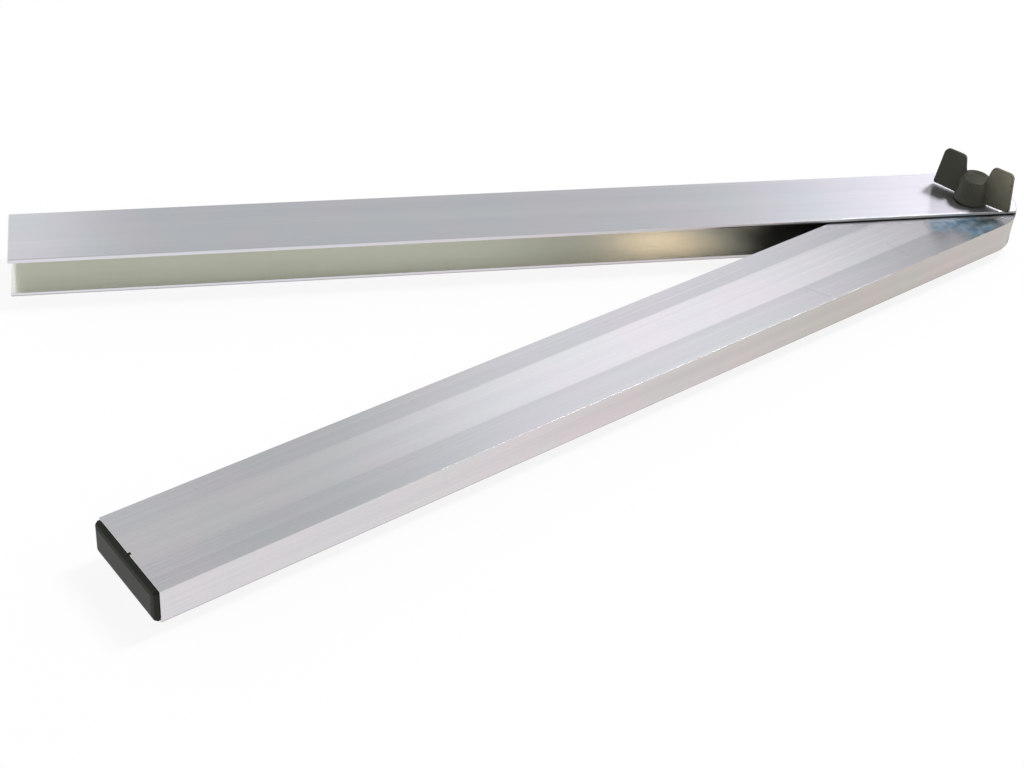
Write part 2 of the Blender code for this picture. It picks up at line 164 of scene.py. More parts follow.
def circles(tree: Tree, place: Socket, flat: Point, pitch_mm: float) -> Socket:
    """Fine rings round the place's origin, as a turning tool or a round saw leaves.

    Args:
        tree: Node tree of the material.
        place: Coordinates that have their origin at the rings' middle.
        flat: 1 for each axis in the rings' plane and 0 for the axis across it.
        pitch_mm: Distance from ring to ring.

    Returns:
        A height from -1 to 1.
    """
    level = add_node(tree, VECTOR_MATH, {0: place, 1: flat}, operation="MULTIPLY").outputs[0]
    away = add_node(tree, VECTOR_MATH, {0: level}, operation="LENGTH").outputs["Value"]
    full_turn = 2.0 * math.pi * per_metre(pitch_mm)
    turns = add_node(tree, MATH, {0: away, 1: full_turn}, operation="MULTIPLY").outputs[0]
    return add_node(tree, MATH, {0: turns}, operation="SINE").outputs[0]


@dataclass(frozen=True)
class Lobe:
    """How far one part of the metal's shine is blurred along and across a leg."""

    along: float
    across: float

    def roughness(self) -> float:
        """Value of the Roughness socket."""
        return (self.along * self.across) ** 0.25

    def stretch(self) -> float:
        """Value of the Anisotropic socket."""
        return (1.0 - self.along / self.across) / 0.9


@dataclass(frozen=True)
class Scratch:
    """Fine dull scratch on a leg's top, in millimetres of the leg's space.

    It starts at x and y and goes on by run along the leg and by rise across it.
    """

    x: float
    y: float
    run: float
    rise: float
    width: float = 0.40
    share: float = 0.6
    colour: str = "#a9aaae"
    roughness: float = 0.5

    def lay(self, tree: Tree, metal: Socket, leg: Socket, top: Socket) -> Socket:
        """Draw the scratch over the metal.

        Args:
            tree: Node tree of the material.
            metal: Shader under the scratch.
            leg: Coordinates of the leg.
            top: 1 on the leg's top and 0 elsewhere.

        Returns:
            The shader of the metal with its scratch.
        """
        path = (self.run * MM, self.rise * MM, 0.0)
        start = (-self.x * MM, -self.y * MM, 0.0)
        near = add_node(tree, VECTOR_MATH, {0: leg, 1: start}, operation="ADD").outputs[0]
        level = add_node(
            tree, VECTOR_MATH, {0: near, 1: (1.0, 1.0, 0.0)}, operation="MULTIPLY"
        ).outputs[0]
        along = add_node(
            tree, VECTOR_MATH, {0: level, 1: path}, operation="DOT_PRODUCT"
        ).outputs["Value"]
        reach = path[0] ** 2 + path[1] ** 2
        part = add_node(tree, RANGE, {"Value": along, "From Max": reach}).outputs[0]
        foot = add_node(
            tree, VECTOR_MATH, {0: path, "Scale": part}, operation="SCALE"
        ).outputs[0]
        away = add_node(
            tree, VECTOR_MATH, {0: level, 1: foot}, operation="DISTANCE"
        ).outputs["Value"]
        line = add_node(
            tree, RANGE, {"Value": away, "From Min": self.width * MM, "From Max": 0.0}
        ).outputs[0]
        share = add_node(tree, MATH, {0: line, 1: top}, operation="MULTIPLY").outputs[0]
        share = add_node(tree, MATH, {0: share, 1: self.share}, operation="MULTIPLY").outputs[0]
        dull = add_node(
            tree,
            PRINCIPLED,
            {"Base Color": linear(self.colour), "Roughness": self.roughness, "Metallic": 1.0},
        ).outputs[0]
        return add_node(tree, MIX_SHADER, {0: share, 1: metal, 2: dull}).outputs[0]


@dataclass(frozen=True)
class Smear:
    """Patch that a thumb wiped along the leg, in millimetres of the leg's space."""

    x: float
    y: float
    length: float
    width: float


@dataclass(frozen=True)
class Ink:
    """Thin film of blue layout ink on a leg's top.

    It is cloudy where it was wiped, has frayed borders, and shows dark specks where a drop dried.
    """

    smears: tuple[Smear, ...]
    thin: str = "#b3cddd"
    thick: str = "#75a4c3"
    speck: str = "#39485c"
    cloud_mm: float = 5.263
    speck_mm: float = 0.909
    fray_mm: float = 7.0
    share: float = 0.80

    def lay(self, tree: Tree, metal: Socket, leg: Socket, top: Socket) -> Socket:
        """Lay the film over the metal.

        Args:
            tree: Node tree of the material.
            metal: Shader of the bare metal.
            leg: Coordinates of the leg.
            top: 1 on the leg's top and 0 elsewhere.

        Returns:
            The shader of the metal with its ink.
        """
        cloud = add_node(
            tree,
            NOISE,
            {"Vector": leg, "Scale": per_metre(self.cloud_mm), "Detail": 3.0, "Roughness": 0.6},
        ).outputs
        film = self.find_film(tree, leg, cloud["Color"])
        thick = add_node(
            tree, RANGE, {"Value": cloud["Fac"], "From Min": 0.38, "From Max": 0.62}
        ).outputs[0]
        tint = add_node(
            tree,
            MIX,
            {"Factor": thick, 6: linear(self.thin), 7: linear(self.thick)},
            data_type="RGBA",
        ).outputs[2]
        ink = add_node(
            tree, PRINCIPLED, {"Base Color": tint, "Roughness": 0.35, "Metallic": 0.6}
        ).outputs[0]
        specks = add_node(
            tree, NOISE, {"Vector": leg, "Scale": per_metre(self.speck_mm), "Detail": 1.0}
        ).outputs["Fac"]
        dots = add_node(
            tree, RANGE, {"Value": specks, "From Min": 0.68, "From Max": 0.74}
        ).outputs[0]
        dark = add_node(
            tree, PRINCIPLED, {"Base Color": linear(self.speck), "Roughness": 0.5}
        ).outputs[0]
        spotted = add_node(tree, MIX_SHADER, {0: dots, 1: ink, 2: dark}).outputs[0]
        share = add_node(tree, MATH, {0: film, 1: top}, operation="MULTIPLY").outputs[0]
        share = add_node(tree, MATH, {0: share, 1: self.share}, operation="MULTIPLY").outputs[0]
        return add_node(tree, MIX_SHADER, {0: share, 1: metal, 2: spotted}).outputs[0]

    def find_film(self, tree: Tree, leg: Socket, cloud: Socket) -> Socket:
        """Join the smears, with borders that the clouds fray.

        Args:
            tree: Node tree of the material.
            leg: Coordinates of the leg.
            cloud: Colour of the cloudy noise.

        Returns:
            1 in the middle of a smear and 0 off the ink.
        """
        fray = self.fray_mm * MM
        bent = add_node(
            tree, VECTOR_MATH, {0: cloud, 1: (-0.5, -0.5, -0.5)}, operation="ADD"
        ).outputs[0]
        moved = add_node(
            tree, VECTOR_MATH, {0: bent, 1: (fray, fray, 0.0), 2: leg}, operation="MULTIPLY_ADD"
        ).outputs[0]
        film = None
        for smear in self.smears:
            centre = (-smear.x * MM, -smear.y * MM, 0.0)
            near = add_node(tree, VECTOR_MATH, {0: moved, 1: centre}, operation="ADD").outputs[0]
            scale = (per_metre(smear.length), per_metre(smear.width), 0.0)
            shaped = add_node(
                tree, VECTOR_MATH, {0: near, 1: scale}, operation="MULTIPLY"
            ).outputs[0]
            away = add_node(tree, VECTOR_MATH, {0: shaped}, operation="LENGTH").outputs["Value"]
            patch = add_node(
                tree, RANGE, {"Value": away, "From Min": 1.45, "From Max": 0.25}
            ).outputs[0]
            if film is not None:
                patch = add_node(tree, MATH, {0: film, 1: patch}, operation="MAXIMUM").outputs[0]
            film = patch
        return film


@dataclass(frozen=True)
class PaintedShade:
    """Strip of painted shade, where shade falls in a gap or under an edge, in millimetres of the
    leg's space.

    It lies between two heights and goes from its start to the pivot, on all that is in front.
    """

    low: float
    high: float
    start: float
    front: float
    share: float
    colour: str
    soft: float = 0.1
    fade: float = 15.0

    def lay(self, tree: Tree, metal: Socket, leg: Socket) -> Socket:
        """Paint shade on the metal where the strip lies.

        Args:
            tree: Node tree of the material.
            metal: Shader of the metal without its painted shade.
            leg: Coordinates of the leg.

        Returns:
            The shader of the metal with its painted shade.
        """
        place = add_node(tree, SPLIT, {0: leg}).outputs
        share = add_node(
            tree, MATH, {0: place["Y"], 1: self.front * MM}, operation="LESS_THAN"
        ).outputs[0]
        share = add_node(tree, MATH, {0: share, 1: self.share}, operation="MULTIPLY").outputs[0]
        for axis, unshaded_at, shaded_at in (
            ("Z", self.high + self.soft, self.high - self.soft),
            ("Z", self.low - self.soft, self.low + self.soft),
            ("X", self.start, self.start + self.fade),
        ):
            mask = add_node(
                tree,
                RANGE,
                {"Value": place[axis], "From Min": unshaded_at * MM, "From Max": shaded_at * MM},
            ).outputs[0]
            share = add_node(tree, MATH, {0: share, 1: mask}, operation="MULTIPLY").outputs[0]
        # The dark shader mixed in here is painted shade.
        painted_dark = add_node(
            tree, PRINCIPLED, {"Base Color": linear(self.colour), "Roughness": 0.8}
        ).outputs[0]
        return add_node(tree, MIX_SHADER, {0: share, 1: metal, 2: painted_dark}).outputs[0]


@dataclass(frozen=True)
class ExtrudedAluminium:
    """Aluminium alloy pushed through a die and lightly brushed along its length, mill finish.

    A tight core mirrors what stands on the leg. A wide halo, broken up by the lines, spreads the
    highlight across the leg and keeps it narrow along the leg, so the leg dims along its length.
    The brush doesn't reach inside the channel, so the shine is sharper there.
    """

    name: str
    halo: Lobe
    halo_share: float
    rim_across: float
    heading: float = 0.0
    colour: str = "#f1f1f2"
    shade: str = "#e0e0e5"
    warm: str = "#fffcfb"
    cool: str = "#fafdfa"
    # Painted shade on the top's rims beside the middle band, standing in for their weaker
    # highlight.
    rim_painted_shade: str = "#ffffff"
    rim_share: float = 1.0
    core: Lobe = Lobe(0.02, 0.11)
    band: tuple[float, float] = (-11.0, 15.0)
    band_fade: float = 0.4
    line_mm: float = 0.7
    line_depth: float = 0.06
    bright_mm: float = 0.5
    streak_mm: float = 7.0
    cloud_mm: float = 41.67
    relief_mm: float = 0.2
    slot_heights: tuple[float, float] = (0.0, 0.0)
    slot_back: float = 31.0
    slot_share: float = 0.10
    slot_core: float = 0.085
    slot_colour: str = "#f2f3ef"
    slot_shade: str = "#e7e8e2"
    saw_mm: float = 1.1
    saw_depth: float = 0.25
    saw_hub: Point = (0.0, -110.0, 60.0)
    saw_from: float = 500.0
    marks: tuple[Scratch | Ink, ...] = ()
    painted_shades: tuple[PaintedShade, ...] = ()

    def build(self) -> bpy.types.Material:
        """Make the material.

        Returns:
            The finished material.
        """
        result, tree, halo = new_finish(self.name)
        leg = leg_space(tree, self.heading)
        facing = add_node(tree, COORDINATES).outputs["Normal"]
        flat_on = add_node(tree, SPLIT, {0: facing}).outputs["Z"]
        top = add_node(
            tree, RANGE, {"Value": flat_on, "From Min": 0.6, "From Max": 0.9}
        ).outputs[0]
        lines = streaks(tree, leg, self.line_mm, 6.0)
        slot = self.find_slot(tree, leg)
        band = self.find_band(tree, leg)
        off_band = add_node(tree, MATH, {0: 1.0, 1: band}, operation="SUBTRACT").outputs[0]
        rim = add_node(tree, MATH, {0: off_band, 1: top}, operation="MULTIPLY").outputs[0]
        core = add_node(tree, PRINCIPLED)
        base = self.add_colour(tree, leg, lines, slot, rim)
        relief = self.add_relief(tree, leg, facing, lines)
        grain = self.add_grain(tree)
        for shader, lobe in ((core, self.core), (halo, self.halo)):
            tree.links.new(base, shader.inputs["Base Color"])
            tree.links.new(relief, shader.inputs["Normal"])
            tree.links.new(grain, shader.inputs["Tangent"])
            shader.inputs["Metallic"].default_value = 1.0
            shader.inputs["Anisotropic Rotation"].default_value = 0.25
            shader.inputs["Anisotropic"].default_value = lobe.stretch()
        rim_lobe = Lobe(self.halo.along, self.rim_across)
        for shader, mask, plain, masked in (
            (core, slot, self.core.roughness(), self.slot_core),
            (halo, band, rim_lobe.roughness(), self.halo.roughness()),
        ):
            blur = add_node(tree, RANGE, {"Value": mask, "To Min": plain, "To Max": masked})
            tree.links.new(blur.outputs[0], shader.inputs["Roughness"])
        share = add_node(
            tree, RANGE, {"Value": slot, "To Min": self.halo_share, "To Max": self.slot_share}
        ).outputs[0]
        fewer = add_node(
            tree, RANGE, {"Value": rim, "To Min": 1.0, "To Max": self.rim_share}
        ).outputs[0]
        share = add_node(tree, MATH, {0: share, 1: fewer}, operation="MULTIPLY").outputs[0]
        surface = add_node(
            tree, MIX_SHADER, {0: share, 1: core.outputs[0], 2: halo.outputs[0]}
        ).outputs[0]
        for mark in self.marks:
            surface = mark.lay(tree, surface, leg, top)
        # Strips of painted shade darken the gaps and the lines under edges.
        for shade_strip in self.painted_shades:
            surface = shade_strip.lay(tree, surface, leg)
        tree.links.new(surface, tree.nodes["Material Output"].inputs["Surface"])
        return result

    def find_slot(self, tree: Tree, leg: Socket) -> Socket:
        """Find the faces inside the channel.

        Args:
            tree: Node tree of the material.
            leg: Coordinates of the leg.

        Returns:
            1 inside the channel and 0 elsewhere.
        """
        place = add_node(tree, SPLIT, {0: leg}).outputs
        low, high = self.slot_heights
        inside = add_node(
            tree, MATH, {0: place["Z"], 1: low * MM}, operation="GREATER_THAN"
        ).outputs[0]
        for axis, limit in (("Z", high), ("Y", self.slot_back)):
            under = add_node(
                tree, MATH, {0: place[axis], 1: limit * MM}, operation="LESS_THAN"
            ).outputs[0]
            inside = add_node(tree, MATH, {0: inside, 1: under}, operation="MULTIPLY").outputs[0]
        return inside

    def find_band(self, tree: Tree, leg: Socket) -> Socket:
        """Find the middle band of the leg, where the brush pressed hardest.

        Args:
            tree: Node tree of the material.
            leg: Coordinates of the leg.

        Returns:
            1 on the band and 0 on both sides of it.
        """
        side = add_node(tree, SPLIT, {0: leg}).outputs["Y"]
        low, high = self.band
        above, below = (
            add_node(
                tree,
                RANGE,
                {"Value": side, "From Min": (edge - fade) * MM, "From Max": (edge + fade) * MM},
            ).outputs[0]
            for edge, fade in ((low, self.band_fade), (high, -self.band_fade))
        )
        return add_node(tree, MATH, {0: above, 1: below}, operation="MULTIPLY").outputs[0]

    def add_grain(self, tree: Tree) -> Socket:
        """Give the direction of the brush, along the leg.

        Args:
            tree: Node tree of the material.

        Returns:
            The direction in the world.
        """
        turn = math.radians(self.heading)
        # The small rise keeps the direction off the normal of the leg's cut ends.
        along = (math.cos(turn), math.sin(turn), 0.02)
        return add_node(
            tree,
            "ShaderNodeVectorTransform",
            {"Vector": along},
            convert_from="OBJECT",
            convert_to="WORLD",
            vector_type="VECTOR",
        ).outputs[0]

    def add_colour(
        self, tree: Tree, leg: Socket, lines: Socket, slot: Socket, rim: Socket
    ) -> Socket:
        """Vary the metal's colour by brush line, by broad streak and by cloudy oxide, with painted
        shade on the top's rims.

        Args:
            tree: Node tree of the material.
            leg: Coordinates of the leg.
            lines: Value of the brush lines.
            slot: 1 inside the channel and 0 elsewhere.
            rim: 1 on the top beside its middle band and 0 elsewhere.

        Returns:
            The colour.
        """
        broad = streaks(tree, leg, self.streak_mm, 2.0)
        mixed = add_node(tree, MATH, {0: lines, 1: broad}, operation="MULTIPLY").outputs[0]
        brushed = add_node(
            tree,
            MIX,
            {"Factor": mixed, 6: linear(self.shade), 7: linear(self.colour)},
            data_type="RGBA",
        ).outputs[2]
        # Single brush lines are under 0.1 mm wide, too fine to show, so these are drawn coarser.
        fine = streaks(tree, leg, self.bright_mm, 3.0)
        bright = add_node(
            tree, RANGE, {"Value": fine, "From Min": 0.86, "From Max": 0.99}
        ).outputs[0]
        lined = add_node(
            tree, MIX, {"Factor": bright, 6: brushed, 7: grey(1.0)}, data_type="RGBA"
        ).outputs[2]
        cloud = add_node(
            tree, NOISE, {"Vector": leg, "Scale": per_metre(self.cloud_mm), "Detail": 2.0}
        ).outputs["Fac"]
        share = add_node(
            tree, RANGE, {"Value": cloud, "From Min": 0.40, "From Max": 0.60}
        ).outputs[0]
        oxide = add_node(
            tree,
            MIX,
            {"Factor": share, 6: linear(self.warm), 7: linear(self.cool)},
            data_type="RGBA",
        ).outputs[2]
        outer = add_node(
            tree, MIX, {"Factor": 1.0, 6: lined, 7: oxide}, data_type="RGBA", blend_type="MULTIPLY"
        ).outputs[2]
        # A painted shade darkens the top's rims a little, standing in for their weaker highlight.
        outer = add_node(
            tree,
            MIX,
            {"Factor": rim, 6: outer, 7: linear(self.rim_painted_shade)},
            data_type="RGBA",
            blend_type="MULTIPLY",
        ).outputs[2]
        drawn = add_node(
            tree,
            MIX,
            {"Factor": lines, 6: linear(self.slot_shade), 7: linear(self.slot_colour)},
            data_type="RGBA",
        ).outputs[2]
        return add_node(
            tree, MIX, {"Factor": slot, 6: outer, 7: drawn}, data_type="RGBA"
        ).outputs[2]

    def add_relief(self, tree: Tree, leg: Socket, facing: Socket, lines: Socket) -> Socket:
        """Raise the brush lines, and on cut ends the arcs of a round saw.

        Args:
            tree: Node tree of the material.
            leg: Coordinates of the leg.
            facing: Normal of the surface in the piece's own space.
            lines: Value of the brush lines.

        Returns:
            The bumped normal.
        """
        turn = math.radians(self.heading)
        along = (math.cos(turn), math.sin(turn), 0.0)
        off_end = add_node(
            tree, VECTOR_MATH, {0: facing, 1: along}, operation="DOT_PRODUCT"
        ).outputs["Value"]
        square_on = add_node(tree, MATH, {0: off_end}, operation="ABSOLUTE").outputs[0]
        run = add_node(tree, SPLIT, {0: leg}).outputs["X"]
        far = add_node(
            tree, MATH, {0: run, 1: -self.saw_from * MM}, operation="LESS_THAN"
        ).outputs[0]
        cut = add_node(
            tree, RANGE, {"Value": square_on, "From Min": 0.85, "From Max": 0.97, "To Max": far}
        ).outputs[0]
        # The saw's hub stood in front of the leg. Its teeth leave arcs 0.3 mm apart, which are too
        # fine to show, so they are drawn coarser.
        hub = tuple(-part * MM for part in self.saw_hub)
        from_hub = add_node(tree, VECTOR_MATH, {0: leg, 1: hub}, operation="ADD").outputs[0]
        arcs = circles(tree, from_hub, (0.0, 1.0, 1.0), self.saw_mm)
        height = add_node(tree, MIX, {0: cut, 2: lines, 3: arcs}).outputs[0]
        depth = add_node(
            tree, RANGE, {"Value": cut, "To Min": self.line_depth, "To Max": self.saw_depth}
        ).outputs[0]
        return add_node(
            tree, BUMP, {"Strength": depth, "Distance": self.relief_mm * MM, "Height": height}
        ).outputs[0]


@dataclass(frozen=True)
class MouldedNylon:
    """Nylon moulded in a spark-eroded steel mould.

    The mould's fine pits leave a satin grain with no sharp reflections, and edges that wear
    smooth.
    A painted tone shades the sharp edges, darker on the black pieces, and a painted sheen pales
    one end in soft clouds.
    """

    name: str
    colour: str
    # Painted tone of the sharp edges: a painted shade on the black nut and cap.
    edge: str
    # Colour of the painted sheen at one end.
    painted_sheen: str
    roughness: float = 0.42
    spread: float = 0.08
    index: float = 1.53
    shine: float = 0.20
    grain_mm: float = 0.35
    grain_depth: float = 0.12
    relief_mm: float = 0.1
    cloud_mm: float = 11.11
    edge_from: tuple[float, float] = (0.508, 0.55)
    sheen_from: Point = (0.0, 0.0, 0.0)
    sheen_to: Point = (0.0, 0.0, 1.0)

    def build(self) -> bpy.types.Material:
        """Make the material.

        Returns:
            The finished material.
        """
        result, tree, shader = new_finish(self.name)
        place = add_node(tree, COORDINATES).outputs["Object"]
        # The real grain is about 0.05 mm, too fine to show, so it is drawn coarser.
        grain = add_node(
            tree, NOISE, {"Vector": place, "Scale": per_metre(self.grain_mm), "Detail": 2.0}
        ).outputs["Fac"]
        tree.links.new(self.add_colour(tree, place), shader.inputs["Base Color"])
        low, high = self.roughness - self.spread, self.roughness + self.spread
        rough = add_node(tree, RANGE, {"Value": grain, "To Min": low, "To Max": high}).outputs[0]
        tree.links.new(rough, shader.inputs["Roughness"])
        relief = add_node(
            tree,
            BUMP,
            {"Strength": self.grain_depth, "Distance": self.relief_mm * MM, "Height": grain},
        ).outputs[0]
        tree.links.new(relief, shader.inputs["Normal"])
        shader.inputs["IOR"].default_value = self.index
        shader.inputs["Specular IOR Level"].default_value = self.shine
        return result

    def add_colour(self, tree: Tree, place: Socket) -> Socket:
        """Pale one end in soft clouds, a painted sheen, and give the sharp edges a painted shade.

        Args:
            tree: Node tree of the material.
            place: Coordinates of the piece.

        Returns:
            The colour.
        """
        path = Vector(self.sheen_to) - Vector(self.sheen_from)
        near = add_node(
            tree, VECTOR_MATH, {0: place, 1: self.sheen_from}, operation="SUBTRACT"
        ).outputs[0]
        along = add_node(
            tree, VECTOR_MATH, {0: near, 1: path / path.length_squared}, operation="DOT_PRODUCT"
        ).outputs["Value"]
        sheen_ramp = add_node(tree, RANGE, {"Value": along}, interpolation_type="SMOOTHSTEP").outputs[0]
        cloud = add_node(
            tree, NOISE, {"Vector": place, "Scale": per_metre(self.cloud_mm), "Detail": 2.0}
        ).outputs["Fac"]
        patchy = add_node(
            tree, RANGE, {"Value": cloud, "From Min": 0.3, "From Max": 0.7, "To Min": 0.75}
        ).outputs[0]
        share = add_node(tree, MATH, {0: sheen_ramp, 1: patchy}, operation="MULTIPLY").outputs[0]
        # The paler end is a painted sheen.
        body = add_node(
            tree,
            MIX,
            {"Factor": share, 6: linear(self.colour), 7: linear(self.painted_sheen)},
            data_type="RGBA",
        ).outputs[2]
        # The sharp edges get a painted shade, like edges turned from the light, darker on the
        # black pieces.
        sharp = add_node(tree, "ShaderNodeNewGeometry").outputs["Pointiness"]
        low, high = self.edge_from
        painted_edge_share = add_node(tree, RANGE, {"Value": sharp, "From Min": low, "From Max": high})
        return add_node(
            tree,
            MIX,
            {"Factor": painted_edge_share.outputs[0], 6: body, 7: linear(self.edge)},
            data_type="RGBA",
        ).outputs[2]


@dataclass(frozen=True)
class TurnedMetal:
    """Round metal ware with tool rings about the pivot and a thin film of tarnish or passivation.

    The rings draw the highlight out into fine arcs, and the film colours it in soft clouds.
    """

    name: str
    colour: str
    film: str
    roughness: float
    smoother: float = 0.08
    rougher: float = 0.10
    cloud_mm: float = 4.545
    ring_mm: float = 0.8
    ring_depth: float = 0.10
    relief_mm: float = 0.1

    def build(self) -> bpy.types.Material:
        """Make the material.

        Returns:
            The finished material.
        """
        result, tree, shader = new_finish(self.name)
        place = add_node(tree, COORDINATES).outputs["Object"]
        cloud = add_node(
            tree, NOISE, {"Vector": place, "Scale": per_metre(self.cloud_mm), "Detail": 3.0}
        ).outputs["Fac"]
        share = add_node(
            tree, RANGE, {"Value": cloud, "From Min": 0.42, "From Max": 0.66}
        ).outputs[0]
        tone = add_node(
            tree,
            MIX,
            {"Factor": share, 6: linear(self.colour), 7: linear(self.film)},
            data_type="RGBA",
        ).outputs[2]
        low, high = self.roughness - self.smoother, self.roughness + self.rougher
        rough = add_node(tree, RANGE, {"Value": cloud, "To Min": low, "To Max": high}).outputs[0]
        # A fine turning feed is 0.1 mm, too fine to show, so the rings are drawn coarser.
        rings = circles(tree, place, (1.0, 1.0, 0.0), self.ring_mm)
        relief = add_node(
            tree,
            BUMP,
            {"Strength": self.ring_depth, "Distance": self.relief_mm * MM, "Height": rings},
        ).outputs[0]
        tree.links.new(tone, shader.inputs["Base Color"])
        tree.links.new(rough, shader.inputs["Roughness"])
        tree.links.new(relief, shader.inputs["Normal"])
        shader.inputs["Metallic"].default_value = 1.0
        return result


@dataclass
class CadPiece:
    """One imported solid, which keeps its place and shape and gets a finish and soft edges.

    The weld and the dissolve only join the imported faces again, so that the rounding finds true
    edges.
    """

    node: str
    slot: Slot
    edge_mm: float = 0.0
    segments: int = 2
    weld_mm: float = 0.002
    flat_angle: float = 0.5
    sharp_angle: float = 30.0

    def dress(self, finish: bpy.types.Material) -> None:
        """Give the solid its finish, and round its sharp edges.

        Args:
            finish: Material of its slot.
        """
        item = self.join_faces(finish)
        plain = item.modifiers.new("plain", "DECIMATE")
        plain.decimate_type = "DISSOLVE"
        plain.angle_limit = math.radians(self.flat_angle)
        if self.edge_mm > 0.0:
            rounding = item.modifiers.new("edges", "BEVEL")
            rounding.width = self.edge_mm * MM
            rounding.segments = self.segments
            rounding.limit_method = "ANGLE"
            rounding.angle_limit = math.radians(self.sharp_angle)
            rounding.harden_normals = True
        normals = item.modifiers.new("normals", "WEIGHTED_NORMAL")
        normals.keep_sharp = True
        LOG.info("%s dressed in %s", self.node, finish.name)

    def melt(self, finish: bpy.types.Material, cell_mm: float, rounds: int) -> None:
        """Give the solid its finish, and join its forms with small fillets, as a mould does.

        Args:
            finish: Material of its slot.
            cell_mm: Size of the cells that the surface is rebuilt on.
            rounds: Passes of smoothing.
        """
        item = self.join_faces(finish)
        cells = item.modifiers.new("cells", "REMESH")
        cells.mode = "VOXEL"
        cells.voxel_size = cell_mm * MM
        cells.use_smooth_shade = True
        fillets = item.modifiers.new("fillets", "SMOOTH")
        fillets.iterations = rounds
        fillets.factor = 0.5
        LOG.info("%s melted and dressed in %s", self.node, finish.name)

    def join_faces(self, finish: bpy.types.Material) -> bpy.types.Object:
        """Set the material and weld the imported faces.

        Args:
            finish: Material of its slot.

        Returns:
            The solid's object.
        """
        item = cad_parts[self.node]
        item.data.materials.clear()
        item.data.materials.append(finish)
        weld = item.modifiers.new("weld", "WELD")
        weld.merge_threshold = self.weld_mm * MM
        return item


@dataclass(frozen=True)
class Edge:
    """Soft edge of a sky panel: the direction's part on one axis where it starts and is full."""

    axis: str
    start: float
    full: float


@dataclass(frozen=True)
class Panel:
    """Patch of sky between soft edges, by how much brighter or darker it is than the sky."""

    colour: str
    gain: float
    edges: tuple[Edge, ...]


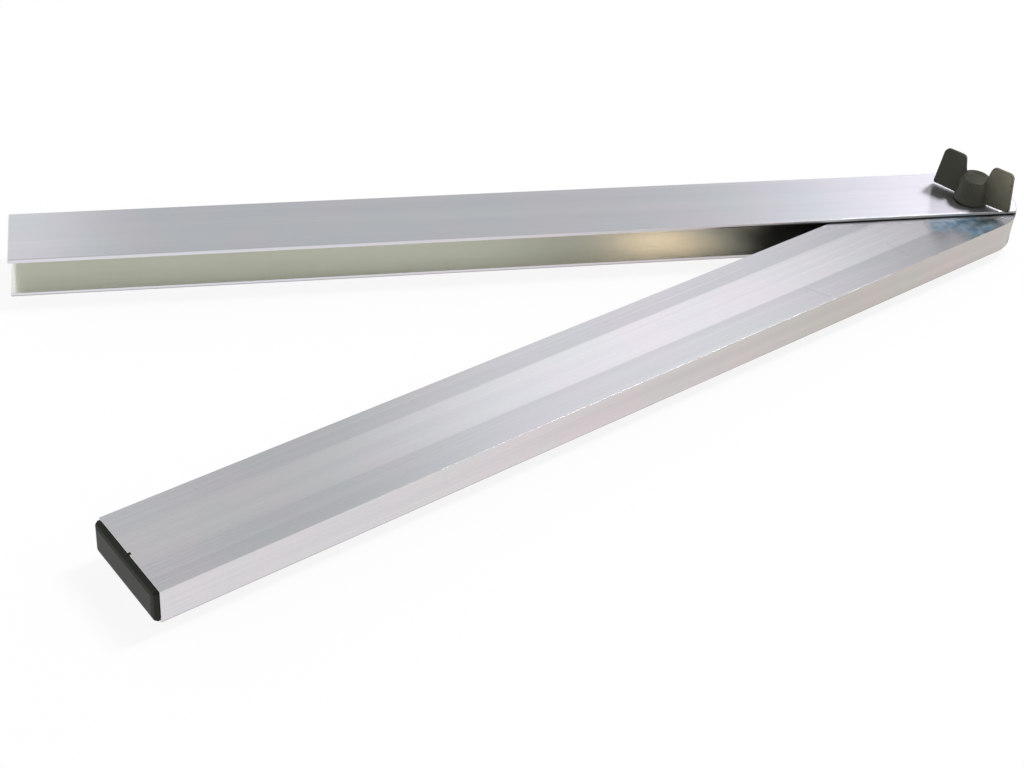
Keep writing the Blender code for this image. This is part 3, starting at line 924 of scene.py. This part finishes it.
@dataclass
class Studio:
    """White floor, pale sky, one high key lamp from the right and behind, and the camera.

    The panels of the sky are, in order: a darker zenith, a darker patch behind on the right that
    the tops near the pivot mirror, a paler one at the left that their far ends mirror, and two
    that the inside of the channel mirrors, a cool one in front and a narrow warm one.
    """

    key_from: Point = (0.485, 0.212, 0.848)
    key_distance: float = 4.5
    key_width: float = 0.72
    key_height: float = 1.45
    key_power: float = 98.0
    key_colour: str = "#fbf6ff"
    sky_strength: float = 0.60
    panels: tuple[Panel, ...] = (
        Panel("#ffffff", -0.11, (Edge("Z", 0.62, 0.72),)),
        Panel("#ffffff", -0.22, (Edge("X", 0.33, 0.43), Edge("Y", 0.0, 0.3))),
        Panel(
            "#f4f1f4",
            0.55,
            (Edge("X", 0.0, -0.055), Edge("Y", -0.60, -0.40), Edge("Z", 0.63, 0.56)),
        ),
        Panel(
            "#eff5e8",
            0.55,
            (
                Edge("Y", -0.50, -0.68),
                Edge("Z", 0.38, 0.46),
                Edge("Z", 0.70, 0.64),
                Edge("X", 0.250, 0.190),
            ),
        ),
        Panel(
            "#ffd9b9",
            4.3,
            (
                Edge("Y", -0.50, -0.68),
                Edge("Z", 0.38, 0.50),
                Edge("Z", 0.70, 0.64),
                Edge("X", 0.264, 0.288),
                Edge("X", 0.302, 0.292),
            ),
        ),
    )
    floor_radius: float = 8.0
    floor_sides: int = 96
    floor_paper: float = 0.82
    floor_shade: float = 0.20
    floor_white: float = 1.06
    floor_far: float = -0.60
    floor_tones: tuple[tuple[float, tuple[float, float, float, float]], ...] = (
        (0.10, (0.96, 0.93, 0.95, 1.0)),
        (0.48, (0.93, 0.85, 0.86, 1.0)),
        (0.70, (0.80, 0.72, 0.69, 1.0)),
        (0.85, (0.68, 0.62, 0.55, 1.0)),
        (1.00, (0.68, 0.62, 0.56, 1.0)),
    )
    lens: float = 63.306
    sensor: float = 36.0
    near_clip: float = 0.01
    place: Point = (-0.524303, -0.891215, 0.62665)
    turn: Point = (51.7261, -4.2833, -11.3632)

    def build(self) -> None:
        """Make the floor, the sky, the lamp and the camera."""
        self.make_floor()
        self.make_sky()
        self.make_key()
        self.make_camera()

    def make_floor(self) -> None:
        """Make a wide white disc under the bevel, which keeps a pale shadow."""
        mesh = bpy.data.meshes.new("floor")
        shape = bmesh.new()
        bmesh.ops.create_circle(
            shape, cap_ends=True, segments=self.floor_sides, radius=self.floor_radius
        )
        shape.to_mesh(mesh)
        shape.free()
        mesh.materials.append(self.make_paper())
        floor = bpy.data.objects.new("floor", mesh)
        bpy.context.scene.collection.objects.link(floor)

    def make_paper(self) -> bpy.types.Material:
        """Make the floor's white paper, whose mirror image is greyer towards the pivot.

        Returns:
            The material.
        """
        paper = bpy.data.materials.new("white_paper_floor")
        paper.use_nodes = True
        tree = paper.node_tree
        tree.nodes.clear()
        path = add_node(tree, LIGHT_PATH).outputs
        place = add_node(tree, COORDINATES).outputs["Object"]
        run = add_node(tree, SPLIT, {0: place}).outputs["X"]
        part = add_node(
            tree, RANGE, {"Value": run, "From Min": self.floor_far, "From Max": 0.0}
        ).outputs[0]
        tone = add_node(
            tree, "ShaderNodeValToRGB", {0: part}, stops=self.floor_tones
        ).outputs[0]
        shown = add_node(
            tree,
            MIX,
            {"Factor": path["Is Camera Ray"], 6: tone, 7: grey(self.floor_white)},
            data_type="RGBA",
        ).outputs[2]
        seen = add_node(
            tree, MATH, {0: path["Is Camera Ray"], 1: path["Is Glossy Ray"]}, operation="MAXIMUM"
        ).outputs[0]
        share = add_node(
            tree, MATH, {0: seen, 1: 1.0 - self.floor_shade}, operation="MULTIPLY"
        ).outputs[0]
        matt = add_node(
            tree, "ShaderNodeBsdfDiffuse", {"Color": grey(self.floor_paper)}
        ).outputs[0]
        white = add_node(tree, "ShaderNodeEmission", {"Color": shown, "Strength": 1.0}).outputs[0]
        mixed = add_node(tree, MIX_SHADER, {0: share, 1: matt, 2: white}).outputs[0]
        add_node(tree, "ShaderNodeOutputMaterial", {"Surface": mixed})
        return paper

    def make_sky(self) -> None:
        """Make the pale light from all round, with its panels."""
        world = bpy.data.worlds.new("studio_sky")
        world.use_nodes = True
        tree = world.node_tree
        back = tree.nodes["Background"]
        place = add_node(tree, COORDINATES).outputs["Generated"]
        direction = add_node(tree, SPLIT, {0: place}).outputs
        light = add_node(tree, "ShaderNodeRGB").outputs[0]
        light.default_value = grey(self.sky_strength)
        for panel in self.panels:
            share = None
            for edge in panel.edges:
                mask = add_node(
                    tree,
                    RANGE,
                    {"Value": direction[edge.axis], "From Min": edge.start, "From Max": edge.full},
                    interpolation_type="SMOOTHSTEP",
                ).outputs[0]
                if share is not None:
                    mask = add_node(
                        tree, MATH, {0: share, 1: mask}, operation="MULTIPLY"
                    ).outputs[0]
                share = mask
            tint = tuple(level * panel.gain for level in linear(panel.colour)[:3])
            part = add_node(
                tree, VECTOR_MATH, {0: tint, "Scale": share}, operation="SCALE"
            ).outputs[0]
            light = add_node(tree, VECTOR_MATH, {0: light, 1: part}, operation="ADD").outputs[0]
        # The camera sees plain white past the floor's edge, where low views show a horizon.
        seen = add_node(tree, LIGHT_PATH).outputs["Is Camera Ray"]
        shown = add_node(
            tree, MIX, {"Factor": seen, 6: light, 7: grey(1.0)}, data_type="RGBA"
        ).outputs[2]
        tree.links.new(shown, back.inputs["Color"])
        back.inputs["Strength"].default_value = 1.0
        bpy.context.scene.world = world

    def make_key(self) -> None:
        """Make the upright softbox, far off, that draws the nut's shadow."""
        data = bpy.data.lights.new("key", "AREA")
        data.shape = "RECTANGLE"
        data.size = self.key_width
        data.size_y = self.key_height
        data.energy = self.key_power
        data.color = linear(self.key_colour)[:3]
        lamp = bpy.data.objects.new("key", data)
        aim = Vector(self.key_from)
        lamp.location = aim * self.key_distance
        lamp.rotation_euler = aim.to_track_quat("Z", "Y").to_euler()
        bpy.context.scene.collection.objects.link(lamp)

    def make_camera(self) -> None:
        """Make the camera, at the photograph's angle."""
        data = bpy.data.cameras.new("camera")
        data.lens = self.lens
        data.sensor_width = self.sensor
        data.clip_start = self.near_clip
        camera = bpy.data.objects.new("camera", data)
        camera.location = self.place
        camera.rotation_euler = [math.radians(angle) for angle in self.turn]
        bpy.context.scene.collection.objects.link(camera)
        bpy.context.scene.camera = camera


@dataclass
class ChannelLeg:
    """The long U-shaped leg that the other leg folds into, open to the front."""

    edge_mm: float = 0.25
    slot_heights: tuple[float, float] = (6.8, 27.6)
    halo: Lobe = Lobe(0.041, 0.34)
    halo_share: float = 0.30
    # Painted shade: the gap under the top flange, the top flange's edge near the pivot, and the
    # line under the lower lip.
    painted_shades: tuple[PaintedShade, ...] = (
        PaintedShade(27.0, 28.3, -185.0, -13.0, 1.0, "#23251f"),
        PaintedShade(28.3, 29.7, -95.0, -13.0, 0.55, "#6d776c"),
        PaintedShade(4.3, 5.15, -620.0, -13.0, 0.8, "#4a4638"),
    )

    def build(self) -> None:
        """Dress the channel."""
        finish = ExtrudedAluminium(
            "extruded_aluminium_channel",
            halo=self.halo,
            halo_share=self.halo_share,
            rim_across=self.halo.across,
            colour="#f4f5fb",
            shade="#e7e9f1",
            slot_heights=self.slot_heights,
            painted_shades=self.painted_shades,
        ).build()
        CadPiece("channel_leg", Slot.ALUMINIUM, self.edge_mm).dress(finish)


@dataclass
class BladeLeg:
    """The tube leg with its end cap and the block that the bolt turns in."""

    heading: float = TUBE_HEADING
    edge_mm: float = 0.25
    cap_rim: float = 597.3
    cap_face: float = 599.6
    cap_segments: int = 3
    halo: Lobe = Lobe(0.052, 0.30)
    halo_share: float = 0.22
    rim_across: float = 0.13
    rim_share: float = 0.45
    marks: tuple[Scratch | Ink, ...] = (
        Scratch(-82.0, -5.0, 2.0, -17.0),
        Scratch(-160.0, -12.0, 6.0, -15.0),
        Ink(
            (
                Smear(-37.0, -9.0, 8.0, 7.0),
                Smear(-28.0, -11.0, 10.0, 6.5),
                Smear(-25.0, -18.0, 8.0, 7.0),
                Smear(-22.0, -25.5, 9.0, 6.5),
                Smear(-12.0, -25.0, 9.0, 5.0),
                Smear(-16.0, -16.0, 9.0, 6.0),
            )
        ),
    )
    # Painted shade: the line along the tube's lower edge, where the shaded floor shows in the
    # metal.
    painted_shades: tuple[PaintedShade, ...] = (PaintedShade(7.0, 7.65, -620.0, -20.0, 0.65, "#6f6560"),)

    def build(self) -> None:
        """Dress the tube, the cap and the block."""
        tube = ExtrudedAluminium(
            "extruded_aluminium_tube",
            halo=self.halo,
            halo_share=self.halo_share,
            rim_across=self.rim_across,
            heading=self.heading,
            rim_painted_shade="#f8f9fb",
            rim_share=self.rim_share,
            marks=self.marks,
            painted_shades=self.painted_shades,
        ).build()
        CadPiece("tube_leg", Slot.ALUMINIUM, self.edge_mm).dress(tube)
        turn = math.radians(self.heading)
        outward = Vector((-math.cos(turn), -math.sin(turn), 0.0))
        # The cap's face gets a painted sheen, paler than its rim and slopes.
        cap = MouldedNylon(
            "black_moulded_nylon_cap",
            colour="#25281f",
            edge="#171a12",
            painted_sheen="#272e23",
            shine=0.12,
            sheen_from=tuple(outward * self.cap_rim * MM),
            sheen_to=tuple(outward * self.cap_face * MM),
        ).build()
        CadPiece("end_cap", Slot.BLACK_PLASTIC, self.edge_mm, self.cap_segments).dress(cap)
        block = MouldedNylon(
            "grey_moulded_nylon", colour="#b9b6b0", edge="#c6c3bd", painted_sheen="#a8a59f", shine=0.35
        ).build()
        CadPiece("pivot_block", Slot.GREY_PLASTIC).dress(block)


@dataclass
class Clamp:
    """The bolt, the washer and the wing nut with its metal insert."""

    cell_mm: float = 0.25
    rounds: int = 16
    # Ends of the nut's painted sheen, which stands in for the bright metal that its upper wing
    # mirrors.
    sheen_from: Point = (-0.006, 0.0, 0.040)
    sheen_to: Point = (0.024, -0.014, 0.070)

    def build(self) -> None:
        """Dress the steel pieces, melt the nut and dress its insert."""
        zinc = TurnedMetal(
            "bright_zinc_plated_steel", colour="#cfd3d8", film="#d2cba9", roughness=0.26
        ).build()
        CadPiece("pivot_bolt", Slot.ZINC_STEEL).dress(zinc)
        CadPiece("flat_washer", Slot.ZINC_STEEL).dress(zinc)
        # The nut's upper right wing gets a painted sheen, for the bright metal that it mirrors.
        nut = MouldedNylon(
            "black_moulded_nylon_nut",
            colour="#3d3e34",
            edge="#1a1b14",
            painted_sheen="#8e8a76",
            sheen_from=self.sheen_from,
            sheen_to=self.sheen_to,
        ).build()
        CadPiece("wing_nut", Slot.BLACK_PLASTIC).melt(nut, self.cell_mm, self.rounds)
        brass = TurnedMetal(
            "turned_brass", colour="#e0bd72", film="#b58f4c", roughness=0.24, ring_mm=0.5
        ).build()
        CadPiece("nut_insert", Slot.BRASS).dress(brass)


def main() -> None:
    """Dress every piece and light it."""
    logging.basicConfig(level=logging.INFO, format="%(message)s")
    bpy.context.scene.view_settings.view_transform = "Standard"
    for assembly in (ChannelLeg(), BladeLeg(), Clamp(), Studio()):
        assembly.build()
        LOG.info("%s built", type(assembly).__name__)


if __name__ == "__main__":
    main()
